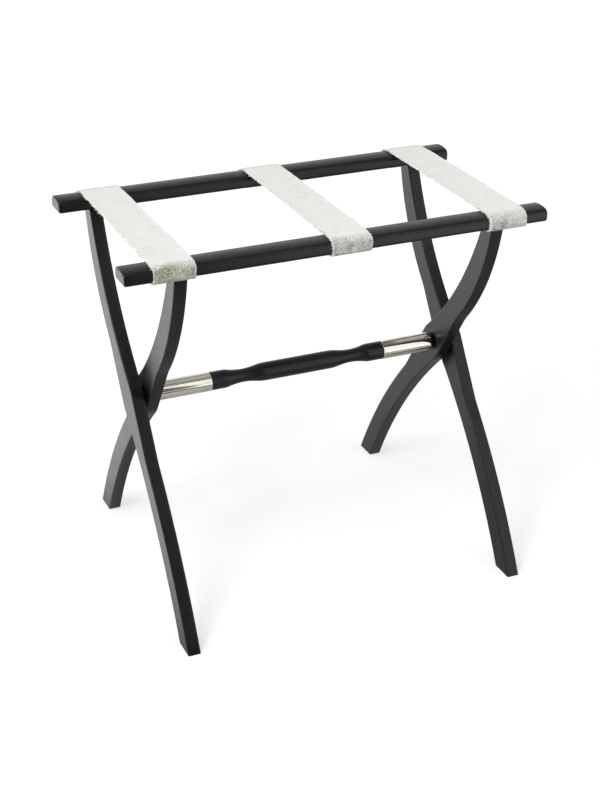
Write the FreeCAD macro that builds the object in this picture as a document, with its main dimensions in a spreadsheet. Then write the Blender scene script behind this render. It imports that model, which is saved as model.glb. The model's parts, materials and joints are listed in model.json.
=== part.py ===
import FreeCAD, Part
import Sketcher
import math
import os

# A folding luggage bench: two hardwood frames that cross on a turned bar, with
# straps over the two top rails. Millimetres, +Z up, +X along the rails.
# The origin is on the floor, midway between the feet.
# The inner frame carries the front rail (-Y), and its feet stand at the back.
# The outer frame carries the back rail (+Y), and its feet stand at the front.

doc = FreeCAD.newDocument("LuggageBench")
sheet = doc.addObject("Spreadsheet::Sheet", "Sizes")

sizes = {
    "rail_length": 571.0,
    "rail_depth": 35.5,
    "rail_side": 14.8,         # flat height of a rail's sides, below the arched top
    "rail_rise": 3.2,          # height of the arch
    "rail_arris": 1.2,         # rounding of a rail's long edges
    "rail_end_bevel": 0.8,
    "rail_underside": 491.0,   # above the floor
    "rail_distance": 270.0,    # between the centres of the two rails
    "rail_overhang": 42.85,    # of the rails beyond the outer legs
    "leg_thick": 17.2,
    "leg_gap": 2.7,            # between crossed legs
    "leg_top_width": 24.7,
    "leg_top_shift": 1.6,      # top of a leg, outward of its rail's centre
    "leg_arris": 1.2,          # bevel of a leg's long edges
    "foot_width": 34.5,
    "foot_reach": 197.2,       # from the middle of the bench to a foot's centre
    "pivot_height": 272.7,
    "boss_width": 47.6,        # widened crossing of a leg, over its two flats
    "boss_lean": 33.2,         # degrees that the flats lean from upright
    "under_flat_above": 83.0,  # reach of the flat under the leg, above and below the pivot
    "under_flat_below": 10.5,
    "over_flat_above": 4.0,    # reach of the flat on the leg's upper edge
    "over_flat_below": 96.0,
    "under_top_bend": 323.0,   # radii of the leg's long curves
    "over_top_bend": 483.0,
    "under_foot_bend": 850.0,
    "over_foot_bend": 887.0,
    "boss_blend": 80.0,        # radius where a flat meets a curve
    "bar_radius": 12.5,
    "bar_collar": 23.1,        # straight part of the bar, between ferrule and hollow neck
    "cove_length": 49.4,       # hollow neck of the bar
    "cove_radius": 90.0,
    "cove_outer_blend": 20.0,
    "cove_inner_blend": 60.0,
    "bar_spigot_radius": 8.0,  # end of the bar, seen between ferrule and leg
    "ferrule_radius": 13.0,
    "ferrule_length": 76.55,
    "ferrule_wall": 1.0,
    "ferrule_standoff": 2.0,   # between ferrule and leg
    "ferrule_nose": 3.0,       # rounding of the ferrule's closed end
    "pin_radius": 4.0,
    "pin_in_bar": 40.0,
    "pin_end_gap": 1.0,        # between the pin's end and the bottom of its hole
    "pin_bevel": 0.6,
    "bush_radius": 6.0,
    "bush_depth": 12.5,
    "bush_flange_radius": 11.0,
    "bush_play": 0.05,         # radial, between pin and bush
    "flange_play": 0.1,        # between flange and inner leg
    "dowel_radius": 2.5,
    "dowel_pitch": 8.4,
    "dowel_in_leg": 12.0,
    "dowel_in_rail": 11.0,
    "dowel_spare": 0.5,        # each hole is this much deeper
    "strap_width": 53.0,
    "strap_thick": 1.6,
    "strap_clear": 0.3,        # between strap and wood or tack
    "strap_left_shift": 0.6,   # of the side straps' centres, rightward of their pairs of legs
    "strap_right_shift": 1.9,
    "strap_middle_shift": 7.0, # rightward of the middle of the rails
    "flap_reach": 27.0,        # turned under a rail, from its outer side
    "notch_clear": 0.6,        # between a flap's notch and the leg in it
    "tack_head_radius": 4.0,
    "tack_head_thick": 1.8,
    "tack_head_bevel": 1.3,
    "tack_shank_radius": 0.9,
    "tack_in_rail": 9.0,
    "tack_from_flap_end": 7.0,
    "tack_from_leg": 17.0,     # first tack beside a leg, from the leg's middle
    "tack_pitch": 13.0,
}

for row, (alias, value) in enumerate(sizes.items(), start=1):
    sheet.set("A%d" % row, alias)
    sheet.set("B%d" % row, str(value))
    sheet.setAlias("B%d" % row, alias)
doc.recompute()


def size(name):
    return "Sizes." + name


def number(text):
    """The value of an expression on the sheet."""
    return float(sheet.evalExpression(text))


# Places that several pieces share, as expressions on the sheet
LEAN = "(Sizes.boss_lean * 1 deg)"
ARCH = "((Sizes.rail_depth ^ 2 / 4 + Sizes.rail_rise ^ 2) / (2 * Sizes.rail_rise))"
RAIL_TOP = "(Sizes.rail_underside + Sizes.rail_side + Sizes.rail_rise)"
HALF_RAIL = "(Sizes.rail_depth / 2)"
RAIL_Y = "(Sizes.rail_distance / 2)"
LEG_TOP_Y = "(Sizes.rail_distance / 2 + Sizes.leg_top_shift)"
OUTER_LEG_X = "(Sizes.rail_length / 2 - Sizes.rail_overhang - Sizes.leg_thick)"
INNER_LEG_X = "(%s - Sizes.leg_gap - Sizes.leg_thick)" % OUTER_LEG_X
LEG_PAIR_X = "(%s - Sizes.leg_gap / 2)" % OUTER_LEG_X
HALF_THICK = "(Sizes.leg_thick / 2)"
FERRULE_END = "(%s - Sizes.ferrule_standoff)" % INNER_LEG_X
FERRULE_START = "(%s - Sizes.ferrule_length)" % FERRULE_END
COVE_OUTER = "(%s - Sizes.bar_collar)" % FERRULE_START
COVE_INNER = "(%s - Sizes.cove_length)" % COVE_OUTER
PIN_END = "(%s + Sizes.bush_depth - Sizes.pin_end_gap)" % OUTER_LEG_X
TENON_RADIUS = "(Sizes.ferrule_radius - Sizes.ferrule_wall)"
STRAP_UNDER = "(Sizes.rail_underside - Sizes.strap_clear - Sizes.strap_thick)"
LEG_X = {"inner": INNER_LEG_X, "outer": OUTER_LEG_X}

# The inner frame has its rail at -Y, the outer frame at +Y
RAIL_SIGN = {"inner": -1, "outer": 1}
SIDES = {"left": -1, "right": 1}


# Sketches

def body_sketch(body, plane, name, offset=None):
    """A sketch on one of the body's own origin planes, lifted by an expression."""
    sketch = body.newObject("Sketcher::SketchObject", name)
    support = [p for p in body.Origin.OriginFeatures if p.Role == plane][0]
    sketch.AttachmentSupport = [(support, "")]
    sketch.MapMode = "FlatFace"
    if offset:
        sketch.setExpression("AttachmentOffset.Base.z", offset)
    return sketch


def bind(sketch, kind, places, value, label):
    """A dimension of the sketch that follows an expression on the sheet."""
    index = sketch.addConstraint(Sketcher.Constraint(kind, *places, number(value)))
    sketch.renameConstraint(index, label)
    sketch.setExpression("Constraints." + label, value)


def arc(start, end, radius, turn):
    """The short arc from start to end. Its centre is left of the way for turn 1, right for -1."""
    chord = end - start
    left = FreeCAD.Vector(-chord.y, chord.x, 0).normalize()
    sagitta = radius - math.sqrt(radius ** 2 - chord.Length ** 2 / 4)
    return Part.Arc(start, (start + end) / 2 - left * sagitta * turn, end)


def outline(sketch, corners, closed=True):
    """Lines and arcs through corners. A corner is (x, y) or (x, y, radius, turn), where
    radius and turn shape the arc that leaves it."""
    points = [FreeCAD.Vector(number(c[0]), number(c[1]), 0) for c in corners]
    count = len(corners) if closed else len(corners) - 1
    ends = []
    for i in range(count):
        start, end = points[i], points[(i + 1) % len(points)]
        if len(corners[i]) == 4:
            radius, turn = corners[i][2:]
            edge = sketch.addGeometry(arc(start, end, number(radius), turn))
            bind(sketch, "Radius", (edge,), radius, "bend_%d" % i)
        else:
            edge = sketch.addGeometry(Part.LineSegment(start, end))
        first = 1 if sketch.getPoint(edge, 1).distanceToPoint(start) < 1e-6 else 2
        ends.append((edge, first, 3 - first))
    for i in range(count if closed else count - 1):
        after = ends[(i + 1) % count]
        sketch.addConstraint(Sketcher.Constraint("Coincident", ends[i][0], ends[i][2], after[0], after[1]))
    places = [(e[0], e[1]) for e in ends]
    if not closed:
        places.append((ends[-1][0], ends[-1][2]))
    for i, place in enumerate(places):
        bind(sketch, "DistanceX", (-1, 1) + place, corners[i][0], "x_%d" % i)
        bind(sketch, "DistanceY", (-1, 1) + place, corners[i][1], "y_%d" % i)


def circles(sketch, centres, radius):
    for i, (x, y) in enumerate(centres):
        middle = FreeCAD.Vector(number(x), number(y), 0)
        ring = sketch.addGeometry(Part.Circle(middle, FreeCAD.Vector(0, 0, 1), number(radius)))
        bind(sketch, "Radius", (ring,), radius, "radius_%d" % i)
        bind(sketch, "DistanceX", (-1, 1, ring, 3), x, "x_%d" % i)
        bind(sketch, "DistanceY", (-1, 1, ring, 3), y, "y_%d" % i)


# Features

def new_body(label):
    body = doc.addObject("PartDesign::Body", label)
    body.Label = label
    return body


def pad(body, sketch, length, reverse=False):
    feature = body.newObject("PartDesign::Pad", sketch.Name + "Pad")
    feature.Profile = sketch
    feature.setExpression("Length", length)
    feature.Reversed = reverse
    doc.recompute()
    return feature


def pocket(body, sketch, length, reverse=False):
    """A cut along the sketch's normal reversed, or along the normal where reverse is set."""
    before = body.Tip.Shape.Volume
    feature = body.newObject("PartDesign::Pocket", sketch.Name + "Pocket")
    feature.Profile = sketch
    feature.setExpression("Length", length)
    feature.Reversed = reverse
    doc.recompute()
    if feature.Shape.Volume > before - 0.01:
        raise RuntimeError(feature.Name + " cuts nothing")
    return feature


def turn_about_axis(body, sketch):
    feature = body.newObject("PartDesign::Revolution", sketch.Name + "Turned")
    feature.Profile = sketch
    feature.ReferenceAxis = (sketch, ["H_Axis"])
    feature.Angle = 360
    doc.recompute()
    return feature


def round_edges(body, name, radius, wanted):
    """Round the edges of the body for which wanted(edge) is true."""
    base = body.Tip
    names = ["Edge%d" % i for i, e in enumerate(base.Shape.Edges, start=1) if wanted(e)]
    feature = body.newObject("PartDesign::Fillet", name)
    feature.Base = (base, names)
    feature.setExpression("Radius", radius)
    doc.recompute()
    return feature


def bevel_edges(body, name, width, wanted):
    base = body.Tip
    names = ["Edge%d" % i for i, e in enumerate(base.Shape.Edges, start=1) if wanted(e)]
    feature = body.newObject("PartDesign::Chamfer", name)
    feature.Base = (base, names)
    feature.setExpression("Size", width)
    doc.recompute()
    return feature


def flat_at(edge, axis, value):
    """True if the whole edge lies where the axis coordinate has this value."""
    box = edge.BoundBox
    low, high = {"x": (box.XMin, box.XMax), "y": (box.YMin, box.YMax), "z": (box.ZMin, box.ZMax)}[axis]
    return abs(low - value) < 1e-4 and abs(high - value) < 1e-4


# Legs

def flat_corner(along, edge, sign):
    """End of a boss flat: along the flat from the pivot, on the under (-1) or over (1) edge."""
    y = "%d * ((%s) * sin(%s) + %d * Sizes.boss_width / 2 * cos(%s))" % (sign, along, LEAN, edge, LEAN)
    z = "Sizes.pivot_height - (%s) * cos(%s) + %d * Sizes.boss_width / 2 * sin(%s)" % (
        along, LEAN, edge, LEAN)
    return y, z


def leg_outline(sketch, frame):
    """The S-curved side of a leg: two long bends on each edge, joined by the flats of the boss."""
    sign = -RAIL_SIGN[frame]    # the way from the rail to the foot
    top = "Sizes.rail_underside"
    under_top = "%d * (-%s - Sizes.leg_top_width / 2)" % (sign, LEG_TOP_Y)
    over_top = "%d * (-%s + Sizes.leg_top_width / 2)" % (sign, LEG_TOP_Y)
    under_foot = "%d * (Sizes.foot_reach - Sizes.foot_width / 2)" % sign
    over_foot = "%d * (Sizes.foot_reach + Sizes.foot_width / 2)" % sign
    outline(sketch, [
        (under_top, top, size("under_top_bend"), sign),
        flat_corner("-Sizes.under_flat_above", -1, sign),
        flat_corner("Sizes.under_flat_below", -1, sign) + (size("under_foot_bend"), -sign),
        (under_foot, "0"),
        (over_foot, "0", size("over_foot_bend"), sign),
        flat_corner("Sizes.over_flat_below", 1, sign),
        flat_corner("-Sizes.over_flat_above", 1, sign) + (size("over_top_bend"), -sign),
        (over_top, top),
    ])


def dowel_places(frame, side):
    """Centres of a leg's two dowels, from the leg's inner face and the middle of the bench."""
    x = "%d * %s" % (SIDES[side], HALF_THICK)
    return [
        (x, "%d * (%s + %d * Sizes.dowel_pitch / 2)" % (RAIL_SIGN[frame], RAIL_Y, step))
        for step in (-1, 1)
    ]


def leg(frame, side):
    """One leg. Its face towards the middle of the bench is the sketch plane."""
    label = "%s_leg_%s" % (frame, side)
    way = SIDES[side]
    sign = -RAIL_SIGN[frame]
    body = new_body(label)
    profile = body_sketch(body, "YZ_Plane", label + "_outline")
    leg_outline(profile, frame)
    pad(body, profile, size("leg_thick"), reverse=way < 0)

    ends = [
        flat_corner("-Sizes.under_flat_above", -1, sign),
        flat_corner("Sizes.under_flat_below", -1, sign),
        flat_corner("-Sizes.over_flat_above", 1, sign),
        flat_corner("Sizes.over_flat_below", 1, sign),
    ]
    corners = [(number(y), number(z)) for y, z in ends]
    round_edges(body, label + "_blend", size("boss_blend"), lambda e: any(
        flat_at(e, "y", y) and flat_at(e, "z", z) for y, z in corners))

    thick = way * number(size("leg_thick"))
    top = number(size("rail_underside"))
    bevel_edges(body, label + "_arris", size("leg_arris"), lambda e: (
        (flat_at(e, "x", 0) or flat_at(e, "x", thick))
        and not flat_at(e, "z", 0) and not flat_at(e, "z", top)))

    hole = body_sketch(body, "YZ_Plane", label + "_pivot_hole")
    if frame == "inner":
        circles(hole, [("0", size("pivot_height"))], size("pin_radius"))
        pocket(body, hole, size("leg_thick"), reverse=way > 0)
    else:
        circles(hole, [("0", size("pivot_height"))], size("bush_radius"))
        pocket(body, hole, size("bush_depth"), reverse=way > 0)

    sockets = body_sketch(body, "XY_Plane", label + "_dowel_holes", size("rail_underside"))
    circles(sockets, dowel_places(frame, side), size("dowel_radius"))
    pocket(body, sockets, "Sizes.dowel_in_leg + Sizes.dowel_spare")
    body.setExpression("Placement.Base.x", "%d * %s" % (way, LEG_X[frame]))
    return body


def leg_dowels(frame, side):
    label = "dowels_%s_leg_%s" % (frame, side)
    body = new_body(label)
    rounds = body_sketch(body, "XY_Plane", label + "_rounds", "Sizes.rail_underside - Sizes.dowel_in_leg")
    circles(rounds, dowel_places(frame, side), size("dowel_radius"))
    pad(body, rounds, "Sizes.dowel_in_leg + Sizes.dowel_in_rail")
    body.setExpression("Placement.Base.x", "%d * %s" % (SIDES[side], LEG_X[frame]))
    return body


# Rails and tacks

def tack_places(frame):
    """Centres of the tacks under a rail, from the middle of the bench and the rail's centre."""
    out = RAIL_SIGN[frame]
    y = "%d * (%s - Sizes.flap_reach + Sizes.tack_from_flap_end)" % (out, HALF_RAIL)
    away = -out     # beside the inner legs the flap is wide outward, beside the outer legs inward
    places = []
    for way in SIDES.values():
        leg_middle = "(%s + %s)" % (LEG_X[frame], HALF_THICK)
        for step in (0, 1):
            shift = "(Sizes.tack_from_leg + %d * Sizes.tack_pitch)" % step
            places.append(("%d * (%s + %d * %s)" % (way, leg_middle, away, shift), y))
    for step in (-1, 0, 1):
        places.append(("Sizes.strap_middle_shift + %d * Sizes.tack_pitch" % step, y))
    return places


def rail(frame, label):
    """A top rail, drawn about its own centre line: flat sides and underside, arched top."""
    body = new_body(label)
    profile = body_sketch(body, "YZ_Plane", label + "_section", "-Sizes.rail_length / 2")
    shoulder = "Sizes.rail_underside + Sizes.rail_side"
    outline(profile, [
        ("-" + HALF_RAIL, size("rail_underside")),
        (HALF_RAIL, size("rail_underside")),
        (HALF_RAIL, shoulder, ARCH, 1),
        ("-" + HALF_RAIL, shoulder),
    ])
    pad(body, profile, size("rail_length"))
    half = number("Sizes.rail_length / 2")
    round_edges(body, label + "_arris", size("rail_arris"), lambda e: e.Length > 2 * half - 1e-3)
    bevel_edges(body, label + "_end_bevel", size("rail_end_bevel"), lambda e: (
        flat_at(e, "x", half) or flat_at(e, "x", -half)))

    sockets = body_sketch(body, "XY_Plane", label + "_dowel_holes", size("rail_underside"))
    centres = []
    for side, way in SIDES.items():
        for x, y in dowel_places(frame, side):
            centres.append(("%s + %d * %s" % (x, way, LEG_X[frame]),
                            "%s - %d * %s" % (y, RAIL_SIGN[frame], RAIL_Y)))
    circles(sockets, centres, size("dowel_radius"))
    pocket(body, sockets, "Sizes.dowel_in_rail + Sizes.dowel_spare", reverse=True)
    pilots = body_sketch(body, "XY_Plane", label + "_tack_holes", size("rail_underside"))
    circles(pilots, tack_places(frame), size("tack_shank_radius"))
    pocket(body, pilots, size("tack_in_rail"), reverse=True)
    body.setExpression("Placement.Base.y", "%d * %s" % (RAIL_SIGN[frame], RAIL_Y))
    return body


def rail_tacks(frame, label):
    """Tacks under one rail: bevelled heads below the flaps, shanks up into the rail."""
    body = new_body(label)
    head_top = "(%s - Sizes.strap_clear)" % STRAP_UNDER
    heads = body_sketch(body, "XY_Plane", label + "_heads", head_top)
    circles(heads, tack_places(frame), size("tack_head_radius"))
    pad(body, heads, size("tack_head_thick"), reverse=True)
    low = number("%s - Sizes.tack_head_thick" % head_top)
    bevel_edges(body, label + "_bevels", size("tack_head_bevel"), lambda e: flat_at(e, "z", low))
    shanks = body_sketch(body, "XY_Plane", label + "_shanks", head_top)
    circles(shanks, tack_places(frame), size("tack_shank_radius"))
    pad(body, shanks, "Sizes.rail_underside + Sizes.tack_in_rail - %s" % head_top)
    body.setExpression("Placement.Base.y", "%d * %s" % (RAIL_SIGN[frame], RAIL_Y))
    return body


# Turned bar, ferrules and pivots, each drawn about the pivot axis

def stretcher_bar():
    """The bar between the inner legs: necks hollowed by one round each, tenons for the
    ferrules, a spigot and a blind bore for the pin at each end."""
    body = new_body("stretcher_bar")
    profile = body_sketch(body, "XZ_Plane", "stretcher_bar_half")
    nose = "(%s - Sizes.ferrule_wall)" % FERRULE_END
    hollow = "(Sizes.ferrule_nose - Sizes.ferrule_wall)"
    bore_end = "(%s - Sizes.pin_in_bar)" % INNER_LEG_X

    def half(way):
        """Corners of one end, from the leg towards the middle."""
        return [
            ("%d * %s" % (way, bore_end), "0"),
            ("%d * %s" % (way, bore_end), size("pin_radius")),
            ("%d * %s" % (way, INNER_LEG_X), size("pin_radius")),
            ("%d * %s" % (way, INNER_LEG_X), size("bar_spigot_radius")),
            ("%d * %s" % (way, nose), size("bar_spigot_radius")),
            ("%d * %s" % (way, nose), "%s - %s" % (TENON_RADIUS, hollow)),
            ("%d * (%s - %s)" % (way, nose, hollow), TENON_RADIUS),
            ("%d * %s" % (way, FERRULE_START), TENON_RADIUS),
            ("%d * %s" % (way, FERRULE_START), size("bar_radius")),
            ("%d * %s" % (way, COVE_OUTER), size("bar_radius")),
            ("%d * %s" % (way, COVE_INNER), size("bar_radius")),
        ]

    left = half(-1)
    left[9] += (size("cove_radius"), 1)
    right = half(1)
    right[10] += (size("cove_radius"), 1)
    outline(profile, left + right[:0:-1] + [right[0]])
    turn_about_axis(body, profile)

    def rings_at(place):
        x = number(place)
        return lambda e: flat_at(e, "x", x) or flat_at(e, "x", -x)
    round_edges(body, "cove_outer_rounding", size("cove_outer_blend"), rings_at(COVE_OUTER))
    round_edges(body, "cove_inner_rounding", size("cove_inner_blend"), rings_at(COVE_INNER))
    body.setExpression("Placement.Base.z", size("pivot_height"))
    return body


def ferrule(side):
    """A drawn nickel cup over one end of the bar, its closed end towards the leg."""
    label = "ferrule_" + side
    way = SIDES[side]
    body = new_body(label)
    profile = body_sketch(body, "XZ_Plane", label + "_wall")
    hollow = "(Sizes.ferrule_nose - Sizes.ferrule_wall)"
    inside = "(%s - Sizes.ferrule_wall)" % FERRULE_END
    corners = [
        ("%d * %s" % (way, FERRULE_START), TENON_RADIUS),
        ("%d * %s" % (way, FERRULE_START), size("ferrule_radius")),
        ("%d * (%s - Sizes.ferrule_nose)" % (way, FERRULE_END), size("ferrule_radius"),
         size("ferrule_nose"), -way),
        ("%d * %s" % (way, FERRULE_END), "Sizes.ferrule_radius - Sizes.ferrule_nose"),
        ("%d * %s" % (way, FERRULE_END), size("bar_spigot_radius")),
        ("%d * %s" % (way, inside), size("bar_spigot_radius")),
        ("%d * %s" % (way, inside), "%s - %s" % (TENON_RADIUS, hollow)),
        ("%d * (%s - %s)" % (way, inside, hollow), TENON_RADIUS),
    ]
    outline(profile, corners)
    turn_about_axis(body, profile)
    body.setExpression("Placement.Base.z", size("pivot_height"))
    return body


def pivot_pin(side):
    """A steel pin, pressed into bar and inner leg, that turns in the bush of the outer leg."""
    label = "pivot_pin_" + side
    way = SIDES[side]
    body = new_body(label)
    start = "(%s - Sizes.pin_in_bar)" % INNER_LEG_X
    profile = body_sketch(body, "YZ_Plane", label + "_round", "%d * %s" % (way, start))
    circles(profile, [("0", "0")], size("pin_radius"))
    pad(body, profile, "%s - %s" % (PIN_END, start), reverse=way < 0)
    tip = way * number(PIN_END)
    bevel_edges(body, label + "_bevel", size("pin_bevel"), lambda e: flat_at(e, "x", tip))
    body.setExpression("Placement.Base.z", size("pivot_height"))
    return body


def pivot_bush(side):
    """A flanged nylon bush in the outer leg. Its flange is the spacer between the legs."""
    label = "pivot_bush_" + side
    way = SIDES[side]
    body = new_body(label)
    profile = body_sketch(body, "XZ_Plane", label + "_wall")
    bore = "Sizes.pin_radius + Sizes.bush_play"
    flange = "(%s - Sizes.leg_gap + Sizes.flange_play)" % OUTER_LEG_X
    bottom = "(%s + Sizes.bush_depth)" % OUTER_LEG_X
    outline(profile, [
        ("%d * %s" % (way, flange), bore),
        ("%d * %s" % (way, flange), size("bush_flange_radius")),
        ("%d * %s" % (way, OUTER_LEG_X), size("bush_flange_radius")),
        ("%d * %s" % (way, OUTER_LEG_X), size("bush_radius")),
        ("%d * %s" % (way, bottom), size("bush_radius")),
        ("%d * %s" % (way, bottom), bore),
    ])
    turn_about_axis(body, profile)
    body.setExpression("Placement.Base.z", size("pivot_height"))
    return body


# Straps

def strap_run(out):
    """Corners of a strap's middle line round one rail, from the flap to the rail's crown."""
    middle = "(Sizes.strap_clear + Sizes.strap_thick / 2)"
    inset = "(%s - Sizes.rail_arris)" % HALF_RAIL
    reach = "(%s - Sizes.rail_arris)" % ARCH
    lift = "sqrt(%s ^ 2 - %s ^ 2)" % (reach, inset)
    centre = "(%s - %s)" % (RAIL_TOP, ARCH)
    grow = "((%s + %s) / %s)" % (ARCH, middle, reach)
    corner = "Sizes.rail_arris + %s" % middle
    side = "%d * (%s + %s + %s)" % (out, RAIL_Y, HALF_RAIL, middle)
    turn = out
    return [
        ("%d * (%s + %s - Sizes.flap_reach)" % (out, RAIL_Y, HALF_RAIL),
         "Sizes.rail_underside - %s" % middle),
        ("%d * (%s + %s)" % (out, RAIL_Y, inset), "Sizes.rail_underside - %s" % middle, corner, turn),
        (side, "Sizes.rail_underside + Sizes.rail_arris"),
        (side, "%s + %s" % (centre, lift), corner, turn),
        ("%d * (%s + %s * %s)" % (out, RAIL_Y, inset, grow), "%s + %s * %s" % (centre, lift, grow),
         "%s + %s" % (ARCH, middle), turn),
        ("%d * %s" % (out, RAIL_Y), "%s + %s" % (RAIL_TOP, middle)),
    ]


def reversed_run(run):
    """The same corners from the last to the first, with each arc turned round."""
    back = []
    for i in range(len(run) - 1, -1, -1):
        place = run[i][:2]
        arc_before = run[i - 1][2:] if i > 0 else ()
        if arc_before:
            place += (arc_before[0], -arc_before[1])
        back.append(place)
    return back


def strap(label, centre, leg_side=None):
    """A hide strap from under the front rail, over both rails, to under the back rail.
    The straps at the sides are notched round the tops of the legs."""
    body = new_body(label)
    path = body_sketch(body, "YZ_Plane", label + "_path")
    outline(path, strap_run(-1) + reversed_run(strap_run(1)), closed=False)
    end = "-(%s + %s - Sizes.flap_reach)" % (RAIL_Y, HALF_RAIL)
    section = body_sketch(body, "XZ_Plane", label + "_section", "-(%s)" % end)
    half = "(Sizes.strap_width / 2)"
    outline(section, [
        ("-" + half, STRAP_UNDER),
        (half, STRAP_UNDER),
        (half, "%s + Sizes.strap_thick" % STRAP_UNDER),
        ("-" + half, "%s + Sizes.strap_thick" % STRAP_UNDER),
    ])
    band = body.newObject("PartDesign::AdditivePipe", label + "_band")
    band.Profile = section
    band.Spine = path
    doc.recompute()

    slack = "1"
    below = "(%s - %s)" % (STRAP_UNDER, slack)
    depth = "Sizes.strap_thick + Sizes.strap_clear + %s" % slack
    for frame, out in RAIL_SIGN.items():
        holes = body_sketch(body, "XY_Plane", "%s_%s_tack_holes" % (label, frame), below)
        low = number("%s - %s" % (centre, half))
        high = number("%s + %s" % (centre, half))
        near = [p for p in tack_places(frame) if low < number(p[0]) < high]
        places = [("%s - %s" % (x, centre), "%s + %d * %s" % (y, out, RAIL_Y)) for x, y in near]
        circles(holes, places, "Sizes.tack_shank_radius + Sizes.strap_clear")
        pocket(body, holes, depth, reverse=True)
        if leg_side:
            way = SIDES[leg_side]
            notch = body_sketch(body, "XY_Plane", "%s_%s_notch" % (label, frame), below)
            near_x = "(%d * (%s - Sizes.notch_clear) - %s)" % (way, LEG_X[frame], centre)
            far_x = "(%d * (%s + Sizes.leg_thick + Sizes.notch_clear) - %s)" % (
                way, LEG_X[frame], centre)
            outer_y = "%d * (%s + Sizes.leg_top_width / 2 + Sizes.notch_clear)" % (out, LEG_TOP_Y)
            inner_y = "%d * (%s + %s - Sizes.flap_reach - %s)" % (out, RAIL_Y, HALF_RAIL, slack)
            outline(notch, [(near_x, outer_y), (far_x, outer_y), (far_x, inner_y), (near_x, inner_y)])
            pocket(body, notch, depth, reverse=True)
    body.setExpression("Placement.Base.x", centre)
    return body


nodes = [rail("inner", "front_rail"), rail("outer", "back_rail")]
nodes += [leg(frame, side) for frame in RAIL_SIGN for side in SIDES]
nodes += [leg_dowels(frame, side) for frame in RAIL_SIGN for side in SIDES]
nodes += [rail_tacks("inner", "front_rail_tacks"), rail_tacks("outer", "back_rail_tacks")]
nodes.append(stretcher_bar())
nodes += [make(side) for make in (ferrule, pivot_pin, pivot_bush) for side in SIDES]
nodes += [
    strap("strap_left", "(Sizes.strap_left_shift - %s)" % LEG_PAIR_X, "left"),
    strap("strap_middle", size("strap_middle_shift")),
    strap("strap_right", "(%s + Sizes.strap_right_shift)" % LEG_PAIR_X, "right"),
]
doc.recompute()

for item in doc.Objects:
    if "Invalid" in item.State or "Error" in item.State:
        raise RuntimeError("%s: %s" % (item.Label, item.State))
for node in nodes:
    if node.Shape.isNull() or not node.Shape.isValid():
        raise RuntimeError(node.Label + " has no valid shape")

os.makedirs("parts", exist_ok=True)
for node in nodes:
    node.Shape.exportStep("parts/%s.step" % node.Label)
    print("%-24s %d solid(s) %9.1f mm3" % (node.Label, len(node.Shape.Solids), node.Shape.Volume))
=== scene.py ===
import json
import math
import random

import bmesh
import bpy
from mathutils import Matrix, Quaternion, Vector, noise
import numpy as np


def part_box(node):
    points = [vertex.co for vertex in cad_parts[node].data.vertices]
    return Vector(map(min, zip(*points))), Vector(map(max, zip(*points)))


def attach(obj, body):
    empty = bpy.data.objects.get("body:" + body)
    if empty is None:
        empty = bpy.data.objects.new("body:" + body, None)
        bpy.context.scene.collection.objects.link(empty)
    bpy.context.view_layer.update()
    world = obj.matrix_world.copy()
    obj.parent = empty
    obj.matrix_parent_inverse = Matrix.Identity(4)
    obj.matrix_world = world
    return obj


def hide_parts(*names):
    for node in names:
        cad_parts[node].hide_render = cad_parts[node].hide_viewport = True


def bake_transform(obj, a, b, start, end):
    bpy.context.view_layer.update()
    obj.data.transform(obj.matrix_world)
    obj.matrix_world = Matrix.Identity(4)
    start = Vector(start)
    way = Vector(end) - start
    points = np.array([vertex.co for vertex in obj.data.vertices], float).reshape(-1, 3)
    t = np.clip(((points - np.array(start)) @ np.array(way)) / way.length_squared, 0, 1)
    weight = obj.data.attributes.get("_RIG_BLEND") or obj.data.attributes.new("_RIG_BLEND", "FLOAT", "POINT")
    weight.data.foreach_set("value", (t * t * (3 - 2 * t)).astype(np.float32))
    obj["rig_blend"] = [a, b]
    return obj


# A folding luggage bench: black lacquered frames that cross on a turned bar with nickel
# ferrules, and three hair-on hide straps over the rails. The dictionaries are in millimetres
# and degrees, and the studio's in metres and watts. Meshes are drawn in millimetres and
# scaled when a piece is added. In the finishes, a name that ends in Marks is a noise scale in
# marks a metre, and one that ends in Range says where a noise starts to show and is full.

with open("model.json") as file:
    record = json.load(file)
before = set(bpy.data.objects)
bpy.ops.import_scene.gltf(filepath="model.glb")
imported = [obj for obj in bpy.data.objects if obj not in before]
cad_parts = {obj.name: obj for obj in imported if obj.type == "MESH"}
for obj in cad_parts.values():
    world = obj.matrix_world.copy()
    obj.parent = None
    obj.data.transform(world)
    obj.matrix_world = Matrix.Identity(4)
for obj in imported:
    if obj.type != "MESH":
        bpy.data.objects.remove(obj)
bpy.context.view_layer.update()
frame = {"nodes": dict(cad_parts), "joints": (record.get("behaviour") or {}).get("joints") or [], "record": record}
mm = 0.001
hinge = frame["joints"][0]
pivotHeight = hinge["pos_m"][2] / mm
sides = {"left": -1, "right": 1}
railOf = {"inner": "front_rail", "outer": "back_rail"}
bodyOf = {"inner": "inner_frame", "outer": "outer_frame"}
alongX = Vector((1, 0, 0))
front = Vector((0, -1, 0))    # normal of a profile drawn in X and Z


def extent(node):
    low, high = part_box(node)
    return low / mm, high / mm


print("frame:", len(frame["nodes"]), "nodes, fold axis at", round(pivotHeight, 1), "mm")


# Camera

camera = {
    "target": (5.3, 0.0, 218.8),
    "azimuth": -23.80,
    "elevation": 26.60,
    "roll": 0.27,
    "distance": 2217.7,
    "lens": 72.39,
}


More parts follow.
